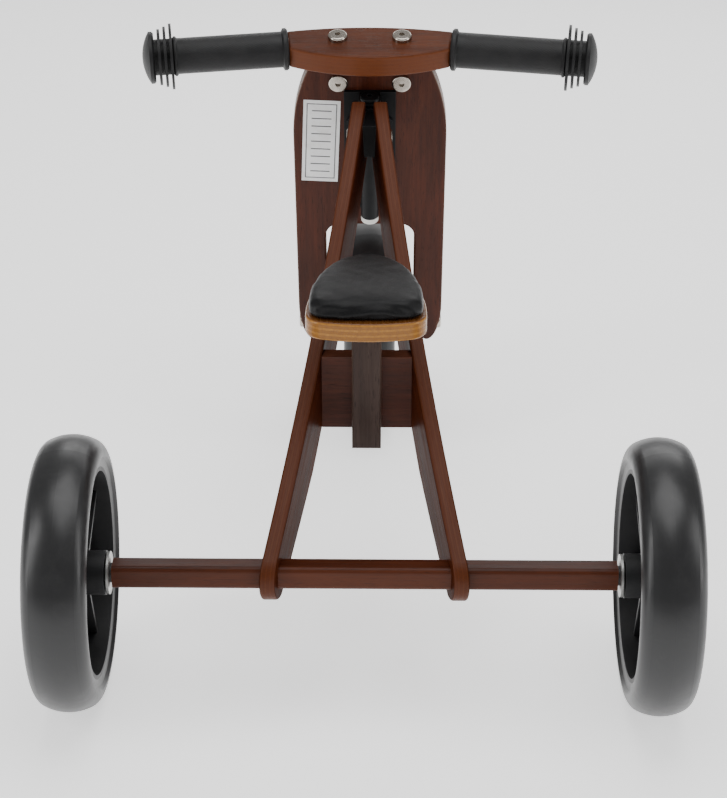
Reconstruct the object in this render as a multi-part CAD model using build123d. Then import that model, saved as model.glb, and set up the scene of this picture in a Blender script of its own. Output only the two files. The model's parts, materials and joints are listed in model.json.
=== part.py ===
"""Children's wooden tricycle: two bowed plywood beams, a raked steering board, three solid wheels.

Frame: +Y is the direction of travel, +X is to the rider's right, +Z is up. The origin is on the
ground, on the centre plane, half way between the front and rear axles. Millimetres.
Steering parts are drawn upright about the front axle (x right, y forward, z up along the board)
and are then tilted back by the rake.
"""
from build123d import *
from math import asin, atan2, cos, hypot, radians, sin, sqrt, tan
import os

# ---- wheels -----------------------------------------------------------------------------
WHEEL_RADIUS = 90.0
TYRE_WIDTH = 40.5
TYRE_SHOULDER = 11.0
TYRE_CROWN_RADIUS = 32.0
TYRE_LIP = 2.0
OVERALL_WIDTH = 420.0
WHEELBASE = 405.0
TYRE_OPENING_RADIUS = 74.0
RIM_RADIUS = 69.0
RIM_WALL = 2.8
RIM_WIDTH = 35.0
WEB_THICKNESS = 4.0
RIB_COUNT = 8
RIB_THICKNESS = 3.0
RIB_INBOARD = 9.0
RIB_OUTBOARD = 7.0
RIB_ROOT = 2.0
HUB_RADIUS = 14.5
HUB_INBOARD = 22.0
HUB_OUTBOARD = 10.0
HUB_CAP_WALL = 2.0
HUB_CAP_GRIP = 2.8
HUB_CAP_CLEARANCE = 1.0

# ---- axles, bushings and fasteners ---------------------------------------------------------
AXLE_RADIUS = 4.0
BUSHING_WALL = 2.2
BUSHING_LENGTH = 12.0
FLANGE_THICKNESS = 1.0
FLANGE_RADIUS = 8.5
RUNNING_GAP = 0.05
END_PLAY = 0.2
PRESS_GAP = 0.02
BOLT_RADIUS = 3.0
BOLT_HEAD_RADIUS = 7.2
BOLT_HEAD_HEIGHT = 3.4
HEX_SOCKET_AF = 4.0
HEX_SOCKET_DEPTH = 1.8
CAP_NUT_RADIUS = 6.5
CAP_NUT_HEIGHT = 4.0
BARREL_NUT_RADIUS = 5.0
INSERT_RADIUS = 5.0
SCREW_RADIUS = 2.0
SCREW_HEAD_RADIUS = 3.8
SCREW_HEAD_HEIGHT = 2.0
HEAD_ROUNDING = 0.45
SEAT_GAP = 0.3
OVERCUT = 1.0

# ---- rear axle bar ----------------------------------------------------------------------
BAR_SIDE = 16.0
BAR_EDGE_RADIUS = 3.5
BAR_INSERT_RADIUS = 6.0
BAR_INSERT_LENGTH = 20.0
AXLE_BOLT_EMBED = 32.0
AXLE_BOLT_HEAD_RADIUS = 7.0
AXLE_BOLT_HEAD_HEIGHT = 5.0
AXLE_WASHER_RADIUS = 14.0
AXLE_WASHER_THICKNESS = 1.5
AXLE_SPACER_RADIUS = 6.5
AXLE_SPACER_LENGTH = 1.5

# ---- beams ------------------------------------------------------------------------------
BEAM_THICKNESS = 10.0
BEAM_DEPTH = 46.0
BEAM_REAR_X = 64.4
BEAM_FRONT_GAP = 3.0
BEAM_BOW = 3.3
BEAM_END_RADIUS = 17.0
BEAM_KNEE_FROM_AXLE = 92.0
BEAM_EDGE_RADIUS = 1.5
BEAM_TOP_AT_BOARD = 237.5

# ---- steering board and head ---------------------------------------------------------------
RAKE = 16.5
BOARD_THICKNESS = 14.0
BOARD_WIDTH = 117.0
BOARD_TOP = 256.0
BOARD_TOP_WIDTH = 86.0
BOARD_SHOULDER = 190.0
BOARD_TOP_CORNER = 4.0
LEG_END = 16.0
LEG_TAPER_START = 22.0
AXLE_SEAT_DEPTH = 4.0
AXLE_TIP = 2.0
SLOT_WIDTH = 70.0
SLOT_ABOVE_TYRE = 15.0
SLOT_CORNER_RADIUS = 12.0
BOARD_EDGE_RADIUS = 1.5
KINGPIN_BEHIND_BOARD = 12.3
PLATE_WIDTH = 39.0
PLATE_THICKNESS = 3.0
PLATE_BOTTOM = 124.0
PLATE_TOP = 232.0
BRACKET_SCREW_INSET = 6.0
BRACKET_SCREW_LOW = 8.0
BRACKET_SCREW_HIGH = 26.0
BRACKET_SCREW_LENGTH = 10.0
TAB_RADIUS = 8.0
TAB_THICKNESS = 3.0
LOWER_TUBE_RADIUS = 6.9
LOWER_TUBE_TOP = 189.0
TUBE_WEB_THICKNESS = 5.0
TUBE_WEB_SETBACK = 2.0
HEAD_TUBE_RADIUS = 8.5
LUG_NECK = 2.4
NECK_OVERLAP = 0.5
LUG_LENGTH = 20.0
LUG_HEIGHT = 28.0
LUG_HALF_WIDTH = 9.0
HEAD_TO_BEAM_GAP = 1.0
CROSS_BOLT_FROM_END = 10.0
CROSS_BOLT_DROP = 3.0
CROSS_SLEEVE_RADIUS = 4.0
SPOT_FACE_DEPTH = 0.3
CROSS_BOLT_TIP_ROOM = 5.0
KINGPIN_TIP = 3.0
KINGPIN_CAP_RADIUS = 6.8
KINGPIN_CAP_ROUNDING = 1.5
KINGPIN_CAP_HEIGHT = 5.0

# ---- handlebar and grips --------------------------------------------------------------------
BAR_THICKNESS = 17.0
BAR_HALF_LENGTH = 60.5
BAR_FRONT_CENTRE = 15.6
BAR_FRONT_END = 9.6
BAR_REAR_CENTRE = 26.4
BAR_REAR_END = 13.8
BAR_SWEEP = 7.0
BAR_BOLT_SPACING = 47.4
BARREL_NUT_BELOW_TOP = 17.5
BARREL_NUT_COVER = 2.0
BARREL_NUT_HEAD_HEIGHT = 2.6
BAR_BOLT_TIP = 6.0
BAR_EDGE_ROUNDING = 2.0
SPIGOT_ROOT = 4.0
GRIP_LENGTH = 107.5
GRIP_RADIUS = 13.2
GRIP_BORE_DEPTH = 96.0
SPIGOT_RADIUS = 8.4
GRIP_FLANGE_RADIUS = 15.5
GRIP_FLANGE_THICKNESS = 4.6
GRIP_EDGE = 1.2
GRIP_COLLAR = 1.4
GRIP_FIN_RADII = (24.0, 22.0, 20.4)
GRIP_FIN_THICKNESS = 1.9
GRIP_FIN_PITCH = 4.4
GRIP_FIN_START = 85.0
GRIP_DOME_RADIUS = 19.0
GRIP_DOME_START = 98.5
GRIP_DOME_RIM = 3.5

# ---- cross plate and seat ------------------------------------------------------------------
CROSS_PLATE_FROM_AXLE = 122.0
CROSS_PLATE_THICKNESS = 12.0
CROSS_PLATE_SETBACK = 0.5
PLATE_SCREW_INSET = 16.0
PLATE_SCREW_LENGTH = 26.0
SCREW_RECESS = 3.2
SCREW_TIP_ROOM = 0.2
POST_WIDTH = 20.0
POST_THICKNESS = 12.0
POST_BELOW_PLATE = 10.0
SLIDE_GAP = 0.1
SEAT_ABOVE_BEAMS = 13.5
SEAT_TRAVEL = 12.0
SEAT_BASE_THICKNESS = 13.0
SEAT_WIDTH = 79.5
SEAT_NOSE_LENGTH = 75.0
SEAT_REAR_LENGTH = 16.5
SEAT_REAR_BOW = 7.0
SEAT_CORNER_RADIUS = 15.0
SEAT_EDGE_RADIUS = 2.0
SEAT_BEHIND_POST = 48.5
PAD_INSET = 1.2
PAD_REAR_INSET = 4.0
PAD_REAR_BOW = 1.5
PAD_CORNER_CUT = 8.0
PAD_HEIGHT = 14.0
PAD_EDGE_RADIUS = 5.0
SEAT_BOLT_SPACING = 18.0
SEAT_BRACKET_THICKNESS = 2.5
SEAT_BRACKET_WIDTH = 36.0
SEAT_BRACKET_LENGTH = 56.0
SEAT_TAB_LENGTH = 30.0
SEAT_SCREW_INSET = 5.5
SEAT_SCREW_LENGTH = 10.0
POST_SCREW_FIRST = 9.0
POST_SCREW_SECOND = 21.0
POST_EDGE_RADIUS = 1.2
POST_INSERT_LENGTH = 9.5
CLAMP_HEAD_RADIUS = 5.0
CLAMP_HEAD_HEIGHT = 4.0
CLAMP_WASHER_RADIUS = 7.0
CLAMP_WASHER_THICKNESS = 1.5

# ---- label ------------------------------------------------------------------------------
LABEL_WIDTH = 28.0
LABEL_HEIGHT = 75.0
LABEL_THICKNESS = 0.2
LABEL_CENTRE = (-37.5, 185.0)
LABEL_TILT = -2.5

# ---- derived places --------------------------------------------------------------------------
BEAM_FRONT_X = BEAM_FRONT_GAP + BEAM_THICKNESS
REAR_AXLE = Vector(0, -WHEELBASE / 2, WHEEL_RADIUS)
FRONT_AXLE = Vector(0, WHEELBASE / 2, WHEEL_RADIUS)
BUSHING_RADIUS = AXLE_RADIUS + RUNNING_GAP + BUSHING_WALL
WHEEL_CENTRE_X = (OVERALL_WIDTH - TYRE_WIDTH) / 2
HUB_FACE_X = WHEEL_CENTRE_X - HUB_INBOARD
AXLE_STACK = FLANGE_THICKNESS + END_PLAY + AXLE_WASHER_THICKNESS + AXLE_SPACER_LENGTH
BAR_HALF_SPAN = HUB_FACE_X - AXLE_STACK
SLOT_TOP = WHEEL_RADIUS + SLOT_ABOVE_TYRE
BOARD_REAR = -BOARD_THICKNESS / 2
PLATE_REAR = BOARD_REAR - PLATE_THICKNESS
KINGPIN_Y = BOARD_REAR - KINGPIN_BEHIND_BOARD
BEAM_FRONT_Y = KINGPIN_Y - HEAD_TUBE_RADIUS - HEAD_TO_BEAM_GAP
LEG_SEAT_X = BOARD_WIDTH / 2 - AXLE_SEAT_DEPTH
BARREL_NUT_Z = BOARD_TOP - BARREL_NUT_BELOW_TOP
CROSS_PLATE_REAR_Y = REAR_AXLE.Y + CROSS_PLATE_FROM_AXLE
POST_REAR_Y = CROSS_PLATE_REAR_Y - SLIDE_GAP - POST_THICKNESS
SEAT_REAR_Y = POST_REAR_Y - SEAT_BEHIND_POST
SEAT_WIDEST_Y = SEAT_REAR_Y + SEAT_REAR_BOW + SEAT_REAR_LENGTH
SEAT_NOSE_Y = SEAT_WIDEST_Y + SEAT_NOSE_LENGTH


# ---- placing helpers ------------------------------------------------------------------------
def on_fork(shape):
    """Tilt a shape drawn upright about the front axle into its place on the raked board."""
    return Pos(*FRONT_AXLE) * Rot(RAKE, 0, 0) * shape


def fork_point(y, z):
    """World (Y, Z) of a point given in the upright steering frame."""
    rake = radians(RAKE)
    return (FRONT_AXLE.Y + y * cos(rake) - z * sin(rake),
            FRONT_AXLE.Z + y * sin(rake) + z * cos(rake))


def rod_x(radius, x0, x1, y=0.0, z=0.0):
    """Round bar along X from x0 to x1."""
    return Pos((x0 + x1) / 2, y, z) * Rot(0, 90, 0) * Cylinder(radius, abs(x1 - x0))


def rod_y(radius, y0, y1, x=0.0, z=0.0):
    """Round bar along Y from y0 to y1."""
    return Pos(x, (y0 + y1) / 2, z) * Rot(90, 0, 0) * Cylinder(radius, abs(y1 - y0))


def rod_z(radius, z0, z1, x=0.0, y=0.0):
    """Round bar along Z from z0 to z1."""
    return Pos(x, y, (z0 + z1) / 2) * Cylinder(radius, abs(z1 - z0))


def block(x0, x1, y0, y1, z0, z1):
    """Box between two corners."""
    return Pos((x0 + x1) / 2, (y0 + y1) / 2, (z0 + z1) / 2) * Box(x1 - x0, y1 - y0, z1 - z0)


def mirrored(shape):
    """The same shape on the other side of the centre plane."""
    return shape.mirror(Plane.YZ)


def group(*shapes):
    """Separate solids kept together as one node."""
    return Compound(children=[solid for shape in shapes for solid in shape.solids()])


def hex_socket(top):
    """Hexagon prism that cuts a key socket down from the height top."""
    corner_radius = HEX_SOCKET_AF / sqrt(3)
    return Pos(0, 0, top - HEX_SOCKET_DEPTH) * extrude(RegularPolygon(corner_radius, 6), HEX_SOCKET_DEPTH + OVERCUT)


def domed_head(radius, height):
    """Low round bolt head that stands on z = 0, with a hexagon socket."""
    head = fillet(rod_z(radius, 0, height).edges().sort_by(Axis.Z)[-1], height * HEAD_ROUNDING)
    return head - hex_socket(height)


def wood_screw(length):
    """Pan-head screw that points down from z = 0."""
    head = rod_z(SCREW_HEAD_RADIUS, 0, SCREW_HEAD_HEIGHT)
    return head + rod_z(SCREW_RADIUS, -length, 0)


# ---- wheels -----------------------------------------------------------------------------
def tyre():
    """Smooth solid tyre about X, outboard side at +x."""
    half, seat = TYRE_WIDTH / 2, RIM_WIDTH / 2
    reach = TYRE_CROWN_RADIUS - TYRE_SHOULDER
    turn = asin((half - TYRE_SHOULDER) / reach)
    edge = WHEEL_RADIUS - TYRE_CROWN_RADIUS + reach * cos(turn)
    shoulder = TYRE_CROWN_RADIUS * sin(turn)
    crown_edge = WHEEL_RADIUS - TYRE_CROWN_RADIUS * (1 - cos(turn))
    mouth = TYRE_OPENING_RADIUS + TYRE_LIP
    crown = ThreePointArc((-shoulder, 0, crown_edge), (0, 0, WHEEL_RADIUS), (shoulder, 0, crown_edge))
    outline = [crown]
    for side in (-1, 1):
        outline += [
            TangentArc((side * half, 0, edge), (side * shoulder, 0, crown_edge), tangent=(0, 0, 1)),
            Polyline((side * half, 0, edge), (side * half, 0, mouth),
                     (side * (half - TYRE_LIP), 0, TYRE_OPENING_RADIUS), (side * seat, 0, RIM_RADIUS)),
        ]
    outline.append(Line((-seat, 0, RIM_RADIUS), (seat, 0, RIM_RADIUS)))
    return revolve(make_face(outline), Axis.X, 360)


def rim():
    """Ribbed wheel disc with its hub, about X, outboard side at +x."""
    half = RIM_WIDTH / 2
    ring = rod_x(RIM_RADIUS, -half, half) - rod_x(RIM_RADIUS - RIM_WALL, -half - OVERCUT, half + OVERCUT)
    web = rod_x(RIM_RADIUS - RIM_WALL / 2, -WEB_THICKNESS / 2, WEB_THICKNESS / 2)
    hub = rod_x(HUB_RADIUS, -HUB_INBOARD, HUB_OUTBOARD)
    body = ring + web + hub
    for index in range(RIB_COUNT):
        rib = block(-RIB_INBOARD, RIB_OUTBOARD, -RIB_THICKNESS / 2, RIB_THICKNESS / 2,
                    HUB_RADIUS - RIB_ROOT, RIM_RADIUS - RIM_WALL / 2)
        body += Rot(360 / RIB_COUNT * (index + 0.5), 0, 0) * rib
    seat = BUSHING_RADIUS + PRESS_GAP
    return body - rod_x(seat, -HUB_INBOARD - OVERCUT, HUB_OUTBOARD + OVERCUT)


def bushing():
    """Flanged sleeve about X with its flange at -x, the flange's inner face on x = 0."""
    sleeve = rod_x(BUSHING_RADIUS, 0, BUSHING_LENGTH) + rod_x(FLANGE_RADIUS, -FLANGE_THICKNESS, 0)
    return sleeve - rod_x(AXLE_RADIUS + RUNNING_GAP, -FLANGE_THICKNESS - OVERCUT, BUSHING_LENGTH + OVERCUT)


def wheel_bushings():
    """The two bushings pressed into one hub."""
    inner = Pos(-HUB_INBOARD, 0, 0) * bushing()
    outer = Pos(HUB_OUTBOARD, 0, 0) * Rot(0, 0, 180) * bushing()
    return group(inner, outer)


def hub_cap():
    """Snap-on cap over the hub's outboard end."""
    start = HUB_OUTBOARD - HUB_CAP_GRIP
    bolt_end = HUB_OUTBOARD + FLANGE_THICKNESS + END_PLAY + AXLE_BOLT_HEAD_HEIGHT
    end = bolt_end + HUB_CAP_CLEARANCE + HUB_CAP_WALL
    shell = rod_x(HUB_RADIUS + HUB_CAP_WALL, start, end)
    shell = fillet(shell.edges().sort_by(Axis.X)[-1], HUB_CAP_WALL)
    return shell - rod_x(HUB_RADIUS + PRESS_GAP, start - OVERCUT, end - HUB_CAP_WALL)


def wheel_parts():
    """One wheel about the origin."""
    return {"tyre": tyre(), "rim": rim(), "bushings": wheel_bushings()}


# ---- beams ------------------------------------------------------------------------------
def bow_circle():
    """Centre (x, y) and radius of the right beam's outer face, seen from above."""
    rear = (BEAM_REAR_X, REAR_AXLE.Y)
    front = (BEAM_FRONT_X, fork_point(BEAM_FRONT_Y, BEAM_TOP_AT_BOARD)[0])
    run, rise = front[0] - rear[0], front[1] - rear[1]
    chord = hypot(run, rise)
    radius = (chord ** 2 / 4 + BEAM_BOW ** 2) / (2 * BEAM_BOW)
    reach = radius - BEAM_BOW
    middle = ((rear[0] + front[0]) / 2, (rear[1] + front[1]) / 2)
    return middle[0] + rise / chord * reach, middle[1] - run / chord * reach, radius


def beam_x(y, inner=False):
    """Distance of the right beam's outer or inner face from the centre plane at y."""
    x, centre_y, radius = bow_circle()
    radius += BEAM_THICKNESS if inner else 0.0
    return x - sqrt(radius ** 2 - (y - centre_y) ** 2)


def beam_plan():
    """The right beam seen from above."""
    y0 = REAR_AXLE.Y - BEAM_END_RADIUS - OVERCUT
    y1 = fork_point(BEAM_FRONT_Y, BEAM_TOP_AT_BOARD)[0] + BEAM_DEPTH
    ym = (y0 + y1) / 2
    faces = [[(beam_x(y, inner), y) for y in (y0, ym, y1)] for inner in (False, True)]
    outer = ThreePointArc(*faces[0])
    inner = ThreePointArc(*faces[1])
    return make_face([outer, inner, Line(outer @ 0, inner @ 0), Line(outer @ 1, inner @ 1)])


def beam_side():
    """A beam seen from the side, as a face in the YZ plane."""
    top = fork_point(BEAM_FRONT_Y, BEAM_TOP_AT_BOARD)
    reach = hypot(top[0] - REAR_AXLE.Y, top[1] - REAR_AXLE.Z)
    slope = atan2(top[1] - REAR_AXLE.Z, top[0] - REAR_AXLE.Y) - atan2(BEAM_END_RADIUS, reach)
    along = (cos(slope), sin(slope))
    up = (-sin(slope), cos(slope))
    tilt = radians(RAKE)
    cut = BEAM_DEPTH / cos(slope - tilt)
    bottom = (top[0] + cut * sin(tilt), top[1] - cut * cos(tilt))
    low = BEAM_END_RADIUS - BEAM_DEPTH
    knee = tuple(a + BEAM_KNEE_FROM_AXLE * b + low * c
                 for a, b, c in zip((REAR_AXLE.Y, REAR_AXLE.Z), along, up))
    span = hypot(BEAM_KNEE_FROM_AXLE, low)
    tangent = sqrt(span ** 2 - BEAM_END_RADIUS ** 2)
    swing = slope + atan2(low, BEAM_KNEE_FROM_AXLE) - atan2(BEAM_END_RADIUS, tangent)
    under = (sin(swing), -cos(swing))
    rear = (-cos((slope + swing) / 2), -sin((slope + swing) / 2))
    arc_points = [(0, REAR_AXLE.Y + BEAM_END_RADIUS * v[0], REAR_AXLE.Z + BEAM_END_RADIUS * v[1])
                  for v in (under, rear, up)]
    end = ThreePointArc(*arc_points)
    run = Polyline(arc_points[2], (0, *top), (0, *bottom), (0, *knee), arc_points[0])
    return make_face([end, run])


def plain_beam():
    """The right beam before its edges are rounded and its holes are cut."""
    plan = extrude(beam_plan(), BOARD_TOP + FRONT_AXLE.Z)
    side = extrude(beam_side(), BEAM_REAR_X + BEAM_BOW + BEAM_THICKNESS, dir=(1, 0, 0))
    return plan & side


def cross_bolt_place():
    """World (Y, Z) of the bolt that clamps both beams to the head lug."""
    tilt = radians(RAKE)
    top_y, top_z = fork_point(BEAM_FRONT_Y - CROSS_BOLT_FROM_END, BEAM_TOP_AT_BOARD)
    drop = BEAM_DEPTH / 2 + CROSS_BOLT_DROP
    return top_y + drop * sin(tilt), top_z - drop * cos(tilt)


def bolt_seat_x():
    """Distance of the cross bolt's spot faces from the centre plane."""
    return beam_x(cross_bolt_place()[0]) - SPOT_FACE_DEPTH


def beam_top_z(y):
    """Height of the beams' top edge at y."""
    top = fork_point(BEAM_FRONT_Y, BEAM_TOP_AT_BOARD)
    reach = hypot(top[0] - REAR_AXLE.Y, top[1] - REAR_AXLE.Z)
    slope = atan2(top[1] - REAR_AXLE.Z, top[0] - REAR_AXLE.Y) - atan2(BEAM_END_RADIUS, reach)
    return top[1] + (y - top[0]) * sin(slope) / cos(slope)


def plate_heights():
    """Bottom and top of the cross plate, level with the beams' edges."""
    top = beam_top_z(CROSS_PLATE_REAR_Y)
    slope = beam_top_z(1) - beam_top_z(0)
    return top - BEAM_DEPTH * sqrt(1 + slope ** 2), top


def plate_screw_places():
    """(Y, Z) of the screws through each beam into the cross plate."""
    low, high = plate_heights()
    y = CROSS_PLATE_REAR_Y + CROSS_PLATE_THICKNESS / 2
    return [(y, low + PLATE_SCREW_INSET), (y, high - PLATE_SCREW_INSET)]


def plate_screws():
    """Recessed screws, two through each beam."""
    screws = []
    for y, z in plate_screw_places():
        screw = Pos(beam_x(y) - SCREW_RECESS, y, z) * Rot(0, 90, 0) * wood_screw(PLATE_SCREW_LENGTH)
        screws += [screw, mirrored(screw)]
    return group(*screws)


def beam(bar):
    """Right beam: rounded edges, bar hole, cross bolt hole and screw holes."""
    body = plain_beam()
    body = fillet(body.edges(), BEAM_EDGE_RADIUS)
    y, z = cross_bolt_place()
    seat = bolt_seat_x()
    body -= rod_x(CROSS_SLEEVE_RADIUS + SLIDE_GAP, 0, seat, y, z)
    body -= rod_x(BOLT_HEAD_RADIUS + SEAT_GAP, seat, seat + BEAM_THICKNESS, y, z)
    for y, z in plate_screw_places():
        seat = beam_x(y) - SCREW_RECESS
        body -= rod_x(SCREW_HEAD_RADIUS + SEAT_GAP, seat, seat + BEAM_THICKNESS, y, z)
        body -= rod_x(SCREW_RADIUS + PRESS_GAP, 0, seat, y, z)
    return body - bar


# ---- rear axle ------------------------------------------------------------------------------
def square_bar():
    """Rounded square axle bar without its end bores."""
    section = Plane.YZ * RectangleRounded(BAR_SIDE, BAR_SIDE, BAR_EDGE_RADIUS)
    bar = Pos(-BAR_HALF_SPAN, 0, 0) * extrude(section, 2 * BAR_HALF_SPAN)
    return Pos(*REAR_AXLE) * bar


def rear_bar():
    """Axle bar with a bore in each end for its threaded insert and the bolt's tip."""
    y, z = REAR_AXLE.Y, REAR_AXLE.Z
    bore = rod_x(BAR_INSERT_RADIUS, BAR_HALF_SPAN - BAR_INSERT_LENGTH, BAR_HALF_SPAN + OVERCUT, y, z)
    tip = rod_x(AXLE_RADIUS + RUNNING_GAP, BAR_HALF_SPAN - AXLE_BOLT_EMBED - OVERCUT, BAR_HALF_SPAN, y, z)
    cut = bore + tip
    return square_bar() - cut - mirrored(cut)


def ring_x(outer, inner, x0, x1):
    """Plain ring about the rear axle from x0 to x1, with its mirror image."""
    y, z = REAR_AXLE.Y, REAR_AXLE.Z
    ring = rod_x(outer, x0, x1, y, z) - rod_x(inner, x0 - OVERCUT, x1 + OVERCUT, y, z)
    return group(ring, mirrored(ring))


def rear_axle_hardware():
    """Inserts, spacers, washers and bolts at both ends of the axle bar."""
    spacer_end = BAR_HALF_SPAN + AXLE_SPACER_LENGTH
    washer_end = spacer_end + AXLE_WASHER_THICKNESS
    clear = AXLE_RADIUS + RUNNING_GAP
    head_x = WHEEL_CENTRE_X + HUB_OUTBOARD + FLANGE_THICKNESS + END_PLAY
    shank = rod_x(AXLE_RADIUS, BAR_HALF_SPAN - AXLE_BOLT_EMBED, head_x)
    bolt = shank + Pos(head_x, 0, 0) * Rot(0, 90, 0) * domed_head(AXLE_BOLT_HEAD_RADIUS, AXLE_BOLT_HEAD_HEIGHT)
    bolt = Pos(0, REAR_AXLE.Y, REAR_AXLE.Z) * bolt
    return {
        "rear_axle_inserts": ring_x(BAR_INSERT_RADIUS, clear, BAR_HALF_SPAN - BAR_INSERT_LENGTH, BAR_HALF_SPAN),
        "rear_axle_spacers": ring_x(AXLE_SPACER_RADIUS, clear, BAR_HALF_SPAN, spacer_end),
        "rear_axle_washers": ring_x(AXLE_WASHER_RADIUS, clear, spacer_end, washer_end),
        "rear_axle_bolts": group(bolt, mirrored(bolt)),
    }


def rear_wheels():
    """Both rear wheels, each in its place."""
    parts = wheel_parts()
    parts["hub_cap"] = hub_cap()
    placed = {}
    for side, turn, sign in (("right", 0, 1), ("left", 180, -1)):
        place = Pos(sign * WHEEL_CENTRE_X, REAR_AXLE.Y, REAR_AXLE.Z) * Rot(0, 0, turn)
        for name, shape in parts.items():
            placed[f"rear_{name}_{side}"] = place * shape
    return placed


# ---- steering head ------------------------------------------------------------------------
def king_rod(radius, z0, z1):
    """Round bar about the kingpin axis, in the upright steering frame."""
    return rod_z(radius, z0, z1, 0, KINGPIN_Y)


def tube_span():
    """Bottom and top of the head tube between its two bushing flanges."""
    stack = FLANGE_THICKNESS + END_PLAY / 2
    return LOWER_TUBE_TOP + stack, PLATE_TOP - TAB_THICKNESS - stack


def head_lug(beams):
    """Head tube welded to the wedge that both beams are bolted to."""
    low, high = tube_span()
    middle = BEAM_TOP_AT_BOARD - BEAM_DEPTH / 2
    z0, z1 = middle - LUG_HEIGHT / 2, middle + LUG_HEIGHT / 2
    tube = king_rod(HEAD_TUBE_RADIUS, low, high)
    neck = block(-LUG_NECK / 2, LUG_NECK / 2, BEAM_FRONT_Y - 2 * NECK_OVERLAP, KINGPIN_Y, z0, min(z1, high))
    wedge_rear, wedge_front = BEAM_FRONT_Y - LUG_LENGTH, BEAM_FRONT_Y - NECK_OVERLAP
    wedge = on_fork(block(-LUG_HALF_WIDTH, LUG_HALF_WIDTH, wedge_rear, wedge_front, z0, z1))
    for side in beams:
        wedge -= side
    wedge = wedge.solids().sort_by(SortBy.VOLUME)[-1]
    body = on_fork(tube + neck) + wedge
    y, z = cross_bolt_place()
    body -= rod_x(CROSS_SLEEVE_RADIUS + SLIDE_GAP, -BEAM_FRONT_X, BEAM_FRONT_X, y, z)
    return body - on_fork(king_rod(BUSHING_RADIUS + PRESS_GAP, low - OVERCUT, high + OVERCUT))


def head_bushings():
    """Flanged bushings in the two ends of the head tube."""
    low, high = tube_span()
    sleeve = Rot(0, 90, 0) * bushing()
    lower = Pos(0, KINGPIN_Y, low) * Rot(180, 0, 0) * sleeve
    upper = Pos(0, KINGPIN_Y, high) * sleeve
    return on_fork(group(lower, upper))


def cross_bolt():
    """Bolt from the left and sleeve nut from the right that clamp the beams to the lug."""
    y, z = cross_bolt_place()
    seat = bolt_seat_x()
    bolt = rod_z(BOLT_RADIUS, CROSS_BOLT_TIP_ROOM - 2 * seat, 0) + domed_head(CAP_NUT_RADIUS, CAP_NUT_HEIGHT)
    sleeve = rod_z(CROSS_SLEEVE_RADIUS, SEAT_GAP - seat, 0) + domed_head(CAP_NUT_RADIUS, CAP_NUT_HEIGHT)
    sleeve -= rod_z(BOLT_RADIUS + RUNNING_GAP, -seat, SCREW_TIP_ROOM)
    return {
        "head_cross_bolt": Pos(-seat, y, z) * Rot(0, -90, 0) * bolt,
        "head_sleeve_nut": Pos(seat, y, z) * Rot(0, 90, 0) * sleeve,
    }


def screw_rows():
    """(x, z) of the screws that hold the steering plate to the board."""
    reach = PLATE_WIDTH / 2 - BRACKET_SCREW_INSET
    heights = (PLATE_BOTTOM + BRACKET_SCREW_LOW, PLATE_TOP - BRACKET_SCREW_HIGH)
    return [(side * reach, z) for side in (-1, 1) for z in heights]


def steering_bracket():
    """Plate on the board with a pierced tab above the head tube and a tube below it."""
    plate = block(-PLATE_WIDTH / 2, PLATE_WIDTH / 2, PLATE_REAR, BOARD_REAR, PLATE_BOTTOM, PLATE_TOP)
    under = PLATE_TOP - TAB_THICKNESS
    inside = PLATE_REAR + OVERCUT
    tab = block(-TAB_RADIUS, TAB_RADIUS, KINGPIN_Y, inside, under, PLATE_TOP)
    tab += king_rod(TAB_RADIUS, under, PLATE_TOP)
    tube = king_rod(LOWER_TUBE_RADIUS, PLATE_BOTTOM, LOWER_TUBE_TOP)
    web = block(-TUBE_WEB_THICKNESS / 2, TUBE_WEB_THICKNESS / 2, KINGPIN_Y, inside,
                PLATE_BOTTOM + TUBE_WEB_SETBACK, LOWER_TUBE_TOP - TUBE_WEB_SETBACK)
    body = plate + tab + tube + web
    body -= king_rod(AXLE_RADIUS + RUNNING_GAP, PLATE_BOTTOM - OVERCUT, PLATE_TOP + OVERCUT)
    for x, z in screw_rows():
        body -= rod_y(SCREW_RADIUS + PRESS_GAP, PLATE_REAR - OVERCUT, BOARD_REAR + OVERCUT, x, z)
    return on_fork(body)


def steering_screws():
    """Screws through the plate into the board."""
    screw = Rot(90, 0, 0) * wood_screw(PLATE_THICKNESS + BRACKET_SCREW_LENGTH)
    return on_fork(group(*[Pos(x, PLATE_REAR, z) * screw for x, z in screw_rows()]))


def kingpin():
    """Pivot bolt through the tab, the head tube and the lower tube."""
    pin = king_rod(AXLE_RADIUS, PLATE_BOTTOM - KINGPIN_TIP, PLATE_TOP)
    head = Pos(0, KINGPIN_Y, PLATE_TOP) * domed_head(BOLT_HEAD_RADIUS, BOLT_HEAD_HEIGHT)
    return on_fork(pin + head)


def kingpin_cap():
    """Nylon lock cap on the pivot bolt's lower end."""
    cap = king_rod(KINGPIN_CAP_RADIUS, PLATE_BOTTOM - KINGPIN_CAP_HEIGHT, PLATE_BOTTOM)
    cap = fillet(cap.edges().sort_by(Axis.Z)[0], KINGPIN_CAP_ROUNDING)
    bore_end = PLATE_BOTTOM - KINGPIN_TIP - SCREW_TIP_ROOM
    return on_fork(cap - king_rod(AXLE_RADIUS + RUNNING_GAP, bore_end, PLATE_BOTTOM + OVERCUT))


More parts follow.
